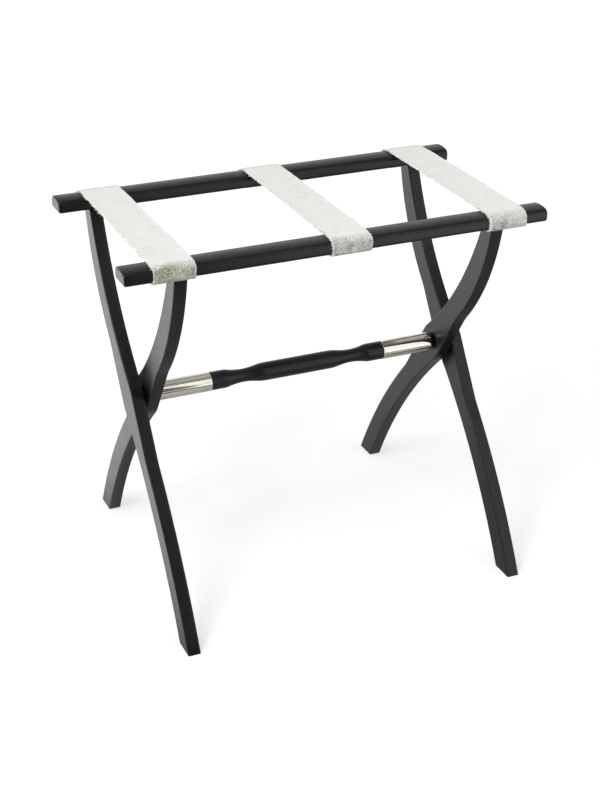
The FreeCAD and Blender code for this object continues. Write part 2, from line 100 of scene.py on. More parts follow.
def makeCamera():
    azimuth = math.radians(camera["azimuth"])
    elevation = math.radians(camera["elevation"])
    back = Vector((
        math.sin(azimuth) * math.cos(elevation),
        -math.cos(azimuth) * math.cos(elevation),
        math.sin(elevation),
    ))
    data = bpy.data.cameras.new("camera")
    data.lens = camera["lens"]
    view = bpy.data.objects.new("camera", data)
    view.rotation_mode = "QUATERNION"
    view.location = (Vector(camera["target"]) + back * camera["distance"]) * mm
    level = (-back).to_track_quat("-Z", "Y")
    view.rotation_quaternion = level @ Quaternion((0, 0, 1), math.radians(camera["roll"]))
    bpy.context.scene.collection.objects.link(view)
    bpy.context.scene.camera = view


makeCamera()


# Shader nodes

class Wire:
    # One output of a node. Arithmetic on it adds Math nodes.
    def __init__(self, finish, socket):
        self.finish = finish
        self.socket = socket

    def combine(self, operation, first, second):
        sockets = {0: first, 1: second}
        return self.finish.add("ShaderNodeMath", {"operation": operation}, sockets)

    def __add__(self, other):
        return self.combine("ADD", self, other)

    def __radd__(self, other):
        return self.combine("ADD", other, self)

    def __sub__(self, other):
        return self.combine("SUBTRACT", self, other)

    def __rsub__(self, other):
        return self.combine("SUBTRACT", other, self)

    def __mul__(self, other):
        return self.combine("MULTIPLY", self, other)

    def __rmul__(self, other):
        return self.combine("MULTIPLY", other, self)


class Finish:
    # A node tree being filled, of a material or of the world.
    def __init__(self, owner):
        owner.use_nodes = True
        self.tree = owner.node_tree
        self.tree.nodes.clear()

    def add(self, kind, settings, sockets, output=0):
        node = self.tree.nodes.new(kind)
        for name, value in settings.items():
            setattr(node, name, value)
        for name, value in sockets.items():
            if isinstance(value, Wire):
                self.tree.links.new(value.socket, node.inputs[name])
            elif node.inputs[name].type == "RGBA" and len(value) == 3:
                node.inputs[name].default_value = (*value, 1.0)
            else:
                node.inputs[name].default_value = value
        return Wire(self, node.outputs[output]) if node.outputs else node

    def place(self):
        return self.add("ShaderNodeTexCoord", {}, {}, "Object")

    def attribute(self, name, output="Fac"):
        return self.add("ShaderNodeAttribute", {"attribute_name": name}, {}, output)

    def stretch(self, vector, scale):
        return self.add("ShaderNodeMapping", {}, {"Vector": vector, "Scale": scale})

    def noise(self, vector, scale, detail=3.0, roughness=0.5, distortion=0.0):
        return self.add("ShaderNodeTexNoise", {}, {
            "Vector": vector, "Scale": scale, "Detail": detail,
            "Roughness": roughness, "Distortion": distortion})

    def blend(self, factor, first, second):
        sockets = {0: factor, 6: first, 7: second}
        return self.add("ShaderNodeMix", {"data_type": "RGBA"}, sockets, 2)

    def ease(self, value, low, high, start=0.0, end=1.0):
        return self.add("ShaderNodeMapRange", {"interpolation_type": "SMOOTHSTEP"}, {
            "Value": value, "From Min": low, "From Max": high, "To Min": start, "To Max": end})

    def bump(self, height, depth, strength, under=None):
        sockets = {"Height": height, "Distance": depth * mm, "Strength": strength}
        if under:
            sockets["Normal"] = under
        return self.add("ShaderNodeBump", {}, sockets)

    def surface(self, sockets):
        shader = self.add("ShaderNodeBsdfPrincipled", {}, sockets)
        self.add("ShaderNodeOutputMaterial", {}, {"Surface": shader})


def newFinish(name):
    material = bpy.data.materials.new(name)
    return material, Finish(material)


def perMetre(*sizes):
    # noise scales for marks of these sizes
    return tuple(1 / (size * mm) for size in sizes)


# Black lacquer on the wood: satin, with faint grain under it and slight rub on the edges

lacquer = {
    "black": (0.0036, 0.0037, 0.0040),
    "haze": (0.0072, 0.0072, 0.0075),
    "rubbed": (0.026, 0.025, 0.024),
    "ior": 1.42,
    "roughness": 0.33,
    "rougher": {"cloud": 0.14, "bands": 0.10, "dust": 0.12, "rub": 0.10},
    "poreSize": (0.5, 0.5, 14.0),      # the third is along the grain
    "poreDepth": 0.04,
    "poreRange": (0.30, 0.48),
    "bandSize": (2.6, 2.6, 70.0),
    "bandDepth": 0.05,
    "peelSize": 2.4,                   # orange peel of the sprayed coat
    "peelDepth": 0.06,
    "cloudMarks": 18.0,
    "hazeBands": 0.6,                  # how far the haze follows the grain
    "hazeRange": (0.60, 1.10),
    "dustMarks": 900.0,
    "dustRange": (0.66, 0.74),
    "rubMarks": 160.0,
    "rubRange": (0.46, 0.68),
    "rubShare": 0.75,
}


def lacquerFinish():
    material, finish = newFinish("black_lacquer_satin")
    grain = finish.attribute("grain", "Vector")
    wear = finish.attribute("wear")
    fine = finish.stretch(grain, perMetre(*lacquer["poreSize"]))
    wide = finish.stretch(grain, perMetre(*lacquer["bandSize"]))
    pores = finish.noise(fine, 1.0, detail=2.0, roughness=0.6)
    bands = finish.noise(wide, 1.0, detail=4.0, roughness=0.55, distortion=0.4)
    peel = finish.noise(grain, *perMetre(lacquer["peelSize"]), detail=1.0)
    cloud = finish.noise(grain, lacquer["cloudMarks"])
    dust = finish.noise(grain, lacquer["dustMarks"], detail=1.0)
    patches = finish.noise(grain, lacquer["rubMarks"], detail=4.0, roughness=0.65)
    haze = finish.ease(cloud + bands * lacquer["hazeBands"], *lacquer["hazeRange"])
    rub = wear * finish.ease(patches, *lacquer["rubRange"]) * lacquer["rubShare"]
    specks = finish.ease(dust, *lacquer["dustRange"])
    pits = finish.ease(pores, *lacquer["poreRange"])
    colour = finish.blend(haze, lacquer["black"], lacquer["haze"])
    colour = finish.blend(rub, colour, lacquer["rubbed"])
    more = lacquer["rougher"]
    roughness = lacquer["roughness"] + (cloud - 0.5) * more["cloud"]
    roughness = roughness + (bands - 0.5) * more["bands"]
    roughness = roughness + specks * more["dust"] + rub * more["rub"]
    normal = finish.bump(peel, lacquer["peelDepth"], strength=0.5)
    normal = finish.bump(bands, lacquer["bandDepth"], strength=0.35, under=normal)
    normal = finish.bump(pits, lacquer["poreDepth"], strength=0.35, under=normal)
    finish.surface({
        "Base Color": colour, "Roughness": roughness, "Normal": normal, "IOR": lacquer["ior"]})
    return material


# Nickel of the ferrules: polished round on the lathe, with a few hazy patches

nickel = {
    "bright": (0.80, 0.77, 0.68),
    "hazy": (0.68, 0.65, 0.56),
    "roughness": 0.09,
    "rougher": {"lines": 0.05, "cloud": 0.08, "spots": 0.08},
    "lineWidth": 0.35,
    "lineMarks": 18.0,                 # round the sleeve
    "lineDepth": 0.02,
    "cloudMarks": 45.0,
    "hazyRange": (0.42, 0.72),
    "spotMarks": 420.0,
    "spotRange": (0.66, 0.72),
}


def nickelFinish():
    material, finish = newFinish("nickel_polished")
    place = finish.place()
    scale = (*perMetre(nickel["lineWidth"]), nickel["lineMarks"], nickel["lineMarks"])
    lines = finish.noise(finish.stretch(place, scale), 1.0, roughness=0.6)
    cloud = finish.noise(place, nickel["cloudMarks"], detail=4.0, roughness=0.6)
    specks = finish.noise(place, nickel["spotMarks"], detail=2.0)
    spots = finish.ease(specks, *nickel["spotRange"])
    hazy = finish.ease(cloud, *nickel["hazyRange"])
    colour = finish.blend(hazy, nickel["bright"], nickel["hazy"])
    more = nickel["rougher"]
    roughness = nickel["roughness"] + (lines - 0.5) * more["lines"]
    roughness = roughness + (cloud - 0.5) * more["cloud"] + spots * more["spots"]
    normal = finish.bump(lines, nickel["lineDepth"], strength=0.05)
    finish.surface({
        "Base Color": colour, "Metallic": 1.0, "Roughness": roughness, "Normal": normal})
    return material


# Hair-on hide: white hair with grey tufts, thickest where the straps turn down over the rails,
# where the hide also gets a painted shade, darker and yellower on some straps. The map "run"
# holds places on the flat strap in metres. Of the strap's attributes, "turned" is 1 where it
# turns down; one is 1 on the cut edges, where the hair gets a painted highlight; and one is the
# share of the darker, yellower painted shade on the turned ends.

hide = {
    "white": (0.87, 0.87, 0.84),
    "cream": (0.84, 0.84, 0.805),
    # painted shade on the turned-down ends: a grey tone, and a darker, yellower one
    "pale": (0.49, 0.49, 0.46),
    "straw": (0.40, 0.40, 0.302),
    "grey": (0.30, 0.30, 0.26),
    # dark strokes on the turned-down ends: dark hairs, and painted shade between the tufts
    "dark": (0.05, 0.05, 0.045),
    "edge": (0.93, 0.93, 0.91),
    "roughness": 0.72,
    "rougher": 0.2,                    # swing of the roughness
    "gloss": 0.25,
    "sheen": 0.12,
    "sheenRoughness": 0.45,
    "patchMarks": 30.0,
    "cloudMarks": (60.0, 95.0),        # along and across the strap
    "tuftMarks": (330.0, 230.0),
    "strokeMarks": (900.0, 380.0),
    "strandMarks": (420.0, 1900.0),
    "creamRange": (0.42, 0.66),
    # share of the painted shade on the turned-down ends
    "shadeShare": (0.80, 1.2),          # where turned down, and its swing with the cloud
    "greyBy": (0.20, 0.80, 0.40),      # share of the turning down, the tufts and the cloud
    "greyRange": (0.16, 0.46),
    "greyShare": 0.60,
    "fleckBy": 0.6,                    # share of the patches
    "fleckRange": (0.62, 0.74),
    "fleckShare": 0.26,
    "darkBy": (0.5, 0.35),             # share of the patches and the tufts
    "darkRange": (0.52, 0.65),
    "darkShare": 0.82,
    "lightRange": (0.56, 0.74),
    "lightShare": 0.12,
    # painted highlight along the cut edges: the hair there is painted lighter
    "rimHighlightRange": (0.30, 0.62),
    "rimHighlightShare": (0.8, 0.2),         # between the tufts and on them
    "tuftDepth": 1.2,
    "tuftOnTop": 0.06,                 # share of that depth left on the free span
    "strandDepth": 0.25,
    "looseMarks": 260.0,               # of the grey among the loose hairs
    "looseRange": (0.62, 0.76),
    "looseRoughness": 0.6,
}


def hideFinish():
    material, finish = newFinish("hide_hair")
    run = finish.add("ShaderNodeUVMap", {"uv_map": "run"}, {})
    turned = finish.attribute("turned")

    def marks(name, detail, distortion):
        drawn = finish.stretch(run, (*hide[name], 1.0))
        return finish.noise(drawn, 1.0, detail, roughness=0.6, distortion=distortion)

    patches = finish.noise(run, hide["patchMarks"], detail=2.0)
    cloud = marks("cloudMarks", detail=3.0, distortion=0.5)
    tufts = marks("tuftMarks", detail=3.0, distortion=1.0)
    strokes = marks("strokeMarks", detail=2.0, distortion=1.5)
    strands = marks("strandMarks", detail=3.0, distortion=0.8)

    byTurn, byTuft, byCloud = hide["greyBy"]
    amount = turned * byTurn + (tufts - 0.5) * byTuft + (cloud - 0.5) * byCloud
    grey = finish.ease(amount, *hide["greyRange"])
    byPatch, byTuft = hide["darkBy"]
    amount = strokes + (patches - 0.5) * byPatch + (tufts - 0.5) * byTuft
    dark = finish.ease(amount, *hide["darkRange"])
    flecks = finish.ease(tufts + (patches - 0.5) * hide["fleckBy"], *hide["fleckRange"])
    cream = finish.ease(cloud, *hide["creamRange"])
    # painted shade on the turned-down ends, going darker and yellower by the strap's share of it
    tone = finish.blend(finish.attribute("straw"), hide["pale"], hide["straw"])
    shaded, swing = hide["shadeShare"]
    colour = finish.blend(cream, hide["white"], hide["cream"])
    colour = finish.blend(turned * (shaded + (cloud - 0.5) * swing), colour, tone)
    onTop = flecks * (1 - turned) * hide["fleckShare"]
    colour = finish.blend(grey * hide["greyShare"] + onTop, colour, hide["grey"])
    # dark strokes on the turned-down ends: dark hairs, and painted shade between the tufts
    colour = finish.blend(dark * turned * hide["darkShare"], colour, hide["dark"])
    # painted highlight along the cut edges, stronger between the tufts
    border = finish.ease(tufts, *hide["rimHighlightRange"], *hide["rimHighlightShare"])
    light = finish.ease(strands, *hide["lightRange"], 0.0, hide["lightShare"])
    light = light + finish.attribute("border") * border
    colour = finish.blend(light, colour, hide["edge"])
    height = tufts * (hide["tuftOnTop"] + turned * (1 - hide["tuftOnTop"]))
    normal = finish.bump(height, hide["tuftDepth"], strength=0.5)
    normal = finish.bump(strands, hide["strandDepth"], strength=0.5, under=normal)
    roughness = hide["roughness"] + (strands - 0.5) * hide["rougher"]
    finish.surface({
        "Base Color": colour, "Roughness": roughness, "Normal": normal,
        "Specular IOR Level": hide["gloss"], "Sheen Weight": hide["sheen"],
        "Sheen Roughness": hide["sheenRoughness"]})
    return material


def looseHairFinish():
    # hairs on the straps' edges: pale, a few of them grey
    material, finish = newFinish("hide_edge_hair")
    tone = finish.noise(finish.place(), hide["looseMarks"], detail=2.0)
    grey = finish.ease(tone, *hide["looseRange"])
    finish.surface({
        "Base Color": finish.blend(grey, hide["edge"], hide["grey"]),
        "Roughness": hide["looseRoughness"] + (tone - 0.5) * hide["rougher"],
        "Specular IOR Level": hide["gloss"]})
    return material


# Bare leather of the hide, on its cut edges and its flesh side

leather = {
    "flesh": (0.52, 0.49, 0.43),
    "darker": 0.72,
    "roughness": 0.82,
    "rougher": 0.2,
    "gloss": 0.2,
    "edgeGrain": 0.5,
    "fleshGrain": 0.8,
    "grainDepth": 0.3,
    "cloudMarks": 60.0,
    "darkBy": (0.6, 0.4),              # share of the fibre and the cloud
    "darkRange": (0.45, 0.70),
}


def leatherFinish(name, shade, grainSize):
    material, finish = newFinish(name)
    place = finish.place()
    fibre = finish.noise(place, *perMetre(grainSize), detail=4.0, roughness=0.65)
    cloud = finish.noise(place, leather["cloudMarks"], detail=2.0)
    darker = tuple(leather["darker"] * part for part in shade)
    byFibre, byCloud = leather["darkBy"]
    dark = finish.ease(fibre * byFibre + cloud * byCloud, *leather["darkRange"])
    finish.surface({
        "Base Color": finish.blend(dark, shade, darker),
        "Roughness": leather["roughness"] + (fibre - 0.5) * leather["rougher"],
        "Normal": finish.bump(fibre, leather["grainDepth"], strength=0.5),
        "Specular IOR Level": leather["gloss"]})
    return material


# Small hardware: bushes, pins, tacks and dowels

hardware = {
    "nylon": {"shade": (0.012, 0.012, 0.013), "metal": 0.0, "roughness": 0.42, "grain": 0.4},
    "pin_steel": {"shade": (0.52, 0.51, 0.49), "metal": 1.0, "roughness": 0.28, "grain": 0.25},
    "tack_steel": {"shade": (0.30, 0.26, 0.20), "metal": 1.0, "roughness": 0.38, "grain": 0.5},
    "beech": {"shade": (0.52, 0.34, 0.19), "metal": 0.0, "roughness": 0.6, "grain": 0.6},
}
tarnish = {
    "darker": 0.6,
    "rougher": 0.2,
    "depth": 0.03,
    "cloudMarks": 120.0,
    "darkBy": (0.6, 0.4),              # share of the cloud and the specks
    "darkRange": (0.42, 0.66),
}


def hardwareFinish(name, look):
    material, finish = newFinish(name + "_finish")
    place = finish.place()
    specks = finish.noise(place, *perMetre(look["grain"]), roughness=0.6)
    cloud = finish.noise(place, tarnish["cloudMarks"])
    darker = tuple(tarnish["darker"] * part for part in look["shade"])
    byCloud, bySpeck = tarnish["darkBy"]
    dark = finish.ease(cloud * byCloud + specks * bySpeck, *tarnish["darkRange"])
    finish.surface({
        "Base Color": finish.blend(dark, look["shade"], darker), "Metallic": look["metal"],
        "Roughness": look["roughness"] + (specks - 0.5) * tarnish["rougher"],
        "Normal": finish.bump(specks, tarnish["depth"], strength=0.4)})
    return material


finishes = {
    "black_lacquer": lacquerFinish(),
    "nickel": nickelFinish(),
    "hide": hideFinish(),
    "edge": leatherFinish("hide_cut_edge", hide["edge"], leather["edgeGrain"]),
    "flesh": leatherFinish("hide_flesh_side", leather["flesh"], leather["fleshGrain"]),
    "hair": looseHairFinish(),
}
for slot, look in hardware.items():
    finishes[slot] = hardwareFinish(slot, look)
print("finishes:", ", ".join(finishes))


# Mesh helpers

snap = 0.001      # corners nearer than this are one
onPlane = 0.01    # an edge this near a plane lies in it
spent = 1e-6      # no more is left to go along a strap


def newShape():
    bm = bmesh.new()
    bm.verts.layers.float_vector.new("grain")
    bm.verts.layers.float.new("wear")
    return bm


def lineTo(bm, tip, end, spacing):
    # straight edges from the vertex tip to a point, and only one where no spacing is given
    way = Vector(end) - tip.co
    steps = max(1, round(way.length / spacing)) if spacing else 1
    made = bmesh.ops.spin(
        bm, geom=[tip], cent=tip.co, axis=alongX, dvec=way / steps, angle=0, steps=steps)
    return made["geom_last"][0]


def arcTo(bm, tip, end, radius, turn, normal, spacing):
    # seen against the normal, the centre lies left of the way for turn 1, right for -1
    way = Vector(end) - tip.co
    left = normal.cross(way).normalized()
    reach = math.sqrt(radius ** 2 - way.length_squared / 4)
    centre = tip.co + way / 2 + left * turn * reach
    angle = 2 * math.asin(way.length / 2 / radius) * turn
    steps = max(3, round(radius * abs(angle) / spacing))
    made = bmesh.ops.spin(bm, geom=[tip], cent=centre, axis=normal, angle=angle, steps=steps)
    return made["geom_last"][0]


def drawChain(bm, corners, normal, spacing, closed=True, cutLines=True):
    # lines and arcs through corners; (point, radius, turn) has the arc that leaves it
    tip = bm.verts.new(corners[0][0])
    for i in range(len(corners) if closed else len(corners) - 1):
        end = corners[(i + 1) % len(corners)][0]
        if len(corners[i]) == 3:
            tip = arcTo(bm, tip, end, corners[i][1], corners[i][2], normal, spacing)
        else:
            tip = lineTo(bm, tip, end, spacing if cutLines else None)
    bmesh.ops.remove_doubles(bm, verts=bm.verts, dist=snap)


def soften(bm, point, reach, times):
    near = [v for v in bm.verts if (v.co - Vector(point)).length < reach]
    for _ in range(times):
        bmesh.ops.smooth_vert(
            bm, verts=near, factor=0.5, use_axis_x=True, use_axis_y=True, use_axis_z=True)


def extrudeFace(bm, length):
    # the closed chain becomes a face, and the face a solid along +X
    face = bmesh.ops.contextual_create(bm, geom=bm.edges[:])["faces"]
    grown = bmesh.ops.extrude_face_region(bm, geom=face)["geom"]
    tips = [g for g in grown if isinstance(g, bmesh.types.BMVert)]
    bmesh.ops.translate(bm, verts=tips, vec=(length, 0, 0))
    bmesh.ops.recalc_face_normals(bm, faces=bm.faces)


def roundEdges(bm, edges, width, segments):
    made = bmesh.ops.bevel(
        bm, geom=edges, offset=width, offset_type="OFFSET", segments=segments,
        profile=0.5, affect="EDGES", material=-1)
    return [v for f in made["faces"] for v in f.verts]


def at(edge, axis, value):
    # true if both ends of the edge lie at this value
    return all(abs(v.co[axis] - value) < onPlane for v in edge.verts)


def cutAt(bm, place, axis=0):
    # a loop of edges where that coordinate has this value
    normal = Vector([float(i == axis) for i in range(3)])
    bmesh.ops.bisect_plane(
        bm, geom=bm.verts[:] + bm.edges[:] + bm.faces[:], dist=snap,
        plane_co=normal * place, plane_no=normal)


def turnRound(bm, segments):
    # a profile in X and Z becomes a turned shape round the fold axis
    bmesh.ops.spin(
        bm, geom=bm.verts[:] + bm.edges[:], cent=(0, 0, pivotHeight), axis=alongX,
        angle=2 * math.pi, steps=segments, use_merge=True)
    bmesh.ops.remove_doubles(bm, verts=bm.verts, dist=snap)
    bmesh.ops.recalc_face_normals(bm, faces=bm.faces)


def markWood(bm, worn, along, shift):
    # wear is 1 on the rounded edges; grain holds places in metres, the third along the grain
    wear = bm.verts.layers.float["wear"]
    grain = bm.verts.layers.float_vector["grain"]
    turn = Vector(along).rotation_difference(Vector((0, 0, 1)))
    for vert in worn:
        if vert.is_valid:
            vert[wear] = 1.0
    for vert in bm.verts:
        vert[grain] = turn @ (vert.co + Vector(shift)) * mm


def addPiece(name, bm, materials, nodes):
    bmesh.ops.scale(bm, verts=bm.verts, vec=(mm, mm, mm))
    for face in bm.faces:
        face.smooth = True
    mesh = bpy.data.meshes.new(name)
    bm.to_mesh(mesh)
    bm.free()
    for material in materials:
        mesh.materials.append(material)
    piece = bpy.data.objects.new(name, mesh)
    bpy.context.scene.collection.objects.link(piece)
    if nodes:
        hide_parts(*nodes)
    return piece


def weighNormals(piece):
    # flats stay flat beside the rounded edges
    modifier = piece.modifiers.new("flats", "WEIGHTED_NORMAL")
    modifier.mode = "FACE_AREA"
    modifier.weight = 80


def applyModifiers(piece):
    graph = bpy.context.evaluated_depsgraph_get()
    mesh = bpy.data.meshes.new_from_object(piece.evaluated_get(graph))
    piece.modifiers.clear()
    piece.data = mesh


# Legs: two long bends on each edge of an S, joined by the flats of the widened crossing

leg = {
    "topWidth": 24.7,
    "topShift": 1.6,           # outward of the rail's centre
    "footWidth": 34.5,
    "footReach": 197.2,        # from the middle of the bench to the foot's centre
    "bossWidth": 47.6,         # over the flats at the crossing
    "bossLean": 33.2,          # of the flats from upright
    "underFlat": (-83.0, 10.5),    # ends of the flats, along them from the pivot
    "overFlat": (-4.0, 96.0),
    "underBends": (323.0, 850.0),  # radii, above and below the flat
    "overBends": (483.0, 887.0),
    "spacing": 4.0,
    "softReach": 24.0,         # of the blend between a flat and a bend
    "softTimes": 4,
    "edgeRound": 1.5,
    "edgeSegments": 3,
    "footRound": 0.7,
    "footSegments": 2,
    "footAngle": 28.6,         # the foot's edges are sharper than this
    "sideCorners": 100,        # the two broad sides have more corners than this
    "wearWidth": 2.4,
    "grainShift": (3, 7),      # moves the grain on, so that no two legs have the same
}


def makeLeg(frameName, sideName):
    node = "%s_leg_%s" % (frameName, sideName)
    low, high = extent(node)
    railLow, railHigh = extent(railOf[frameName])
    way = 1 if frameName == "inner" else -1    # the inner legs stand on the back
    lean = math.radians(leg["bossLean"])
    top = railLow.z
    topMiddle = (railLow.y + railHigh.y) / 2 - way * leg["topShift"]

    def flatEnd(along, edge):
        across = edge * leg["bossWidth"] / 2
        y = along * math.sin(lean) + across * math.cos(lean)
        return low.x, way * y, pivotHeight - along * math.cos(lean) + across * math.sin(lean)

    under = [flatEnd(along, -1) for along in leg["underFlat"]]
    over = [flatEnd(along, 1) for along in leg["overFlat"]]
    foot = way * leg["footReach"]
    halfTop, halfFoot = way * leg["topWidth"] / 2, way * leg["footWidth"] / 2
    bm = newShape()
    drawChain(bm, [
        ((low.x, topMiddle - halfTop, top), leg["underBends"][0], way),
        (under[0],),
        (under[1], leg["underBends"][1], -way),
        ((low.x, foot - halfFoot, 0),),
        ((low.x, foot + halfFoot, 0), leg["overBends"][1], way),
        (over[1],),
        (over[0], leg["overBends"][0], -way),
        ((low.x, topMiddle + halfTop, top),),
    ], alongX, leg["spacing"])
    for point in under + over:
        soften(bm, point, leg["softReach"], leg["softTimes"])
    extrudeFace(bm, high.x - low.x)

    flat = [e for e in bm.edges if at(e, 2, top) or at(e, 2, 0)]
    long = [e for e in bm.edges if (at(e, 0, low.x) or at(e, 0, high.x)) and e not in flat]
    worn = roundEdges(bm, long, leg["edgeRound"], leg["edgeSegments"])
    sharp = math.radians(leg["footAngle"])
    around = [e for e in bm.edges if at(e, 2, 0) and len(e.link_faces) == 2
              and e.calc_face_angle(0) > sharp]
    worn += roundEdges(bm, around, leg["footRound"], leg["footSegments"])
    broad = [f for f in bm.faces if len(f.verts) > leg["sideCorners"]]
    bmesh.ops.inset_individual(
        bm, faces=broad, thickness=leg["wearWidth"], use_even_offset=True)
    inward = leg["edgeRound"] + leg["wearWidth"]
    for place in (low.x + inward, high.x - inward):
        cutAt(bm, place)
    shiftX, shiftZ = leg["grainShift"]
    grainWay = (0, way * math.sin(lean), -math.cos(lean))
    markWood(bm, worn, grainWay, (shiftX * low.x, 0, shiftZ * way))
    piece = addPiece(node + "_wood", bm, [finishes["black_lacquer"]], [node])
    weighNormals(piece)
    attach(piece, bodyOf[frameName])


for frameName in railOf:
    for sideName in sides:
        makeLeg(frameName, sideName)
print("legs: 4")


# Top rails: flat sides and underside, and a shallow arched top

rail = {
    "sideHeight": 14.8,        # up to where the arch and a side would meet
    "overRound": 7.0,          # radius between the two
    "underRound": 3.6,         # along the underside
    "endRound": 2.8,
    "endSegments": 4,
    "spacing": 1.4,
    "wearWidth": 4.8,          # of the worn part at the ends
    "wornLean": 0.80,          # worn where the normal has no part above this along an axis
    "grainShift": 3,           # moves the grain on, so that the two rails differ
}


def railSection(node):
    # radius of the arch, half its width, and the heights where it and the flat sides end
    low, high = extent(node)
    half, rise = (high.y - low.y) / 2, high.z - low.z - rail["sideHeight"]
    arch = (half ** 2 + rise ** 2) / (2 * rise)
    inset, reach = half - rail["overRound"], arch - rail["overRound"]
    lift = math.sqrt(reach ** 2 - inset ** 2)
    middle = high.z - arch
    return arch, inset * arch / reach, middle + lift * arch / reach, middle + lift


def makeRail(frameName):
    node = railOf[frameName]
    low, high = extent(node)
    centre = (low.y + high.y) / 2
    arch, archHalf, archEnd, sideTop = railSection(node)
    under, over = rail["underRound"], rail["overRound"]
    bm = newShape()
    drawChain(bm, [
        ((low.x, low.y + under, low.z),),
        ((low.x, high.y - under, low.z), under, 1),
        ((low.x, high.y, low.z + under),),
        ((low.x, high.y, sideTop), over, 1),
        ((low.x, centre + archHalf, archEnd), arch, 1),
        ((low.x, centre - archHalf, archEnd), over, 1),
        ((low.x, low.y, sideTop),),
        ((low.x, low.y, low.z + under), under, 1),
    ], alongX, rail["spacing"])
    extrudeFace(bm, high.x - low.x)
    ends = [e for e in bm.edges if at(e, 0, low.x) or at(e, 0, high.x)]
    roundEdges(bm, ends, rail["endRound"], rail["endSegments"])
    for place in (low.x + rail["wearWidth"], high.x - rail["wearWidth"]):
        cutAt(bm, place)
    bm.normal_update()
    worn = [v for v in bm.verts if max(abs(part) for part in v.normal) < rail["wornLean"]]
    markWood(bm, worn, alongX, (0, rail["grainShift"] * low.y, 0))
    piece = addPiece(node + "_wood", bm, [finishes["black_lacquer"]], [node])
    weighNormals(piece)
    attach(piece, bodyOf[frameName])


for frameName in railOf:
    makeRail(frameName)
print("rails: 2")


# Turned bar between the inner legs, with a hollow neck near each end

bar = {
    "radius": 12.5,
    "collar": 23.1,            # straight part between ferrule and neck
    "neckLength": 49.4,
    "neckRadius": 90.0,
    "outerSoft": (6.0, 3),     # reach and times of the softening at the neck's ends
    "innerSoft": (18.0, 18),
    "spigotRadius": 8.0,       # of the end that meets the leg
    "pinRadius": 4.0,
    "pinDepth": 40.0,
    "spacing": 1.5,
    "segments": 64,
    "grainShift": 40.0,
}
ferrule = {
    "wall": 1.0,
    "nose": 3.0,               # radius where the sleeve closes in on the leg
    "rimRound": 0.3,
    "rimSegments": 2,
    "spacing": 0.6,
    "segments": 96,
}


def makeBar():
    legFace = extent("inner_leg_right")[0].x
    sleeveLow, sleeveHigh = extent("ferrule_right")
    tenon = (sleeveHigh.y - sleeveLow.y) / 2 - ferrule["wall"]
    hollow = ferrule["nose"] - ferrule["wall"]
    nose = sleeveHigh.x - ferrule["wall"]
    neckOut = sleeveLow.x - bar["collar"]
    neckIn = neckOut - bar["neckLength"]
    profile = [
        (0, bar["radius"]),
        (neckIn, bar["radius"], bar["neckRadius"], 1),
        (neckOut, bar["radius"]),
        (sleeveLow.x, bar["radius"]),
        (sleeveLow.x, tenon),
        (nose - hollow, tenon),
        (nose, tenon - hollow),
        (nose, bar["spigotRadius"]),
        (legFace, bar["spigotRadius"]),
        (legFace, bar["pinRadius"]),
        (legFace - bar["pinDepth"], bar["pinRadius"]),
        (legFace - bar["pinDepth"], 0),
    ]
    bm = newShape()
    drawChain(bm, [
        ((x, 0, pivotHeight + radius), *bend) for x, radius, *bend in profile
    ], front, bar["spacing"], closed=False)
    soften(bm, (neckOut, 0, pivotHeight + bar["radius"]), *bar["outerSoft"])
    soften(bm, (neckIn, 0, pivotHeight + bar["radius"]), *bar["innerSoft"])
    bmesh.ops.mirror(bm, geom=bm.verts[:] + bm.edges[:], axis="X", merge_dist=snap)
    turnRound(bm, bar["segments"])
    markWood(bm, [], alongX, (0, bar["grainShift"], -pivotHeight))
    piece = addPiece("stretcher_bar_wood", bm, [finishes["black_lacquer"]],
                     ["stretcher_bar"])
    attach(piece, "inner_frame")


def makeFerrule(sideName):
    node = "ferrule_" + sideName
    low, high = extent("ferrule_right")
    outer = (high.y - low.y) / 2
    inner = outer - ferrule["wall"]
    hollow = ferrule["nose"] - ferrule["wall"]
    profile = [
        (low.x, inner),
        (low.x, outer),
        (high.x - ferrule["nose"], outer, ferrule["nose"], -1),
        (high.x, outer - ferrule["nose"]),
        (high.x, bar["spigotRadius"]),
        (high.x - ferrule["wall"], bar["spigotRadius"]),
        (high.x - ferrule["wall"], inner - hollow),
        (high.x - ferrule["nose"], inner),
    ]
    bm = newShape()
    drawChain(bm, [
        ((x, 0, pivotHeight + radius), *bend) for x, radius, *bend in profile
    ], front, ferrule["spacing"], cutLines=False)
    turnRound(bm, ferrule["segments"])
    rim = [e for e in bm.edges if at(e, 0, low.x)]
    roundEdges(bm, rim, ferrule["rimRound"], ferrule["rimSegments"])
    if sides[sideName] < 0:
        bmesh.ops.scale(bm, verts=bm.verts, vec=(-1, 1, 1))
        bmesh.ops.reverse_faces(bm, faces=bm.faces)
    piece = addPiece(node + "_sleeve", bm, [finishes["nickel"]], [node])
    weighNormals(piece)
    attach(piece, "inner_frame")


makeBar()
for sideName in sides:
    makeFerrule(sideName)
print("bar and ferrules: 3")


# Straps: each is cut flat, notched for the legs, and bent round the rails

strap = {
    "thick": 2.2,
    "clear": 0.3,              # between strap and wood
    "flapReach": 27.0,         # turned under a rail, from its outer side
    "notchClear": 0.6,         # round the legs
    "columns": 20,
    "rows": {"flap": 12, "under": 8, "side": 7, "over": 6, "crown": 9, "span": 110},
    "freeOver": 35.0,          # length in which the span comes free of a rail
    "ripple": 0.45,            # unevenness of the free span
    "rippleSize": (34.0, 55.0),
    "edgeLift": 0.5,
    "liftPower": 6,            # the higher, the closer the lift keeps to the cut edges
    "edgeWander": 0.9,         # unevenness of the cut edges
    "wanderSize": 9.0,
    "wanderPower": 8,
    "edgeLoops": (0.5, 2.0),   # in from the cut edges
    "greyTo": (41.0, 62.0),    # from each end, where the grey of the turned ends fades
    "cutFrom": {"left": 0.0, "middle": 310.0, "right": 570.0},    # place on the hide
    # share of the darker, yellower painted shade on each strap's turned-down ends
    "straw": {"left": 1.0, "middle": 0.35, "right": 0.2},
}


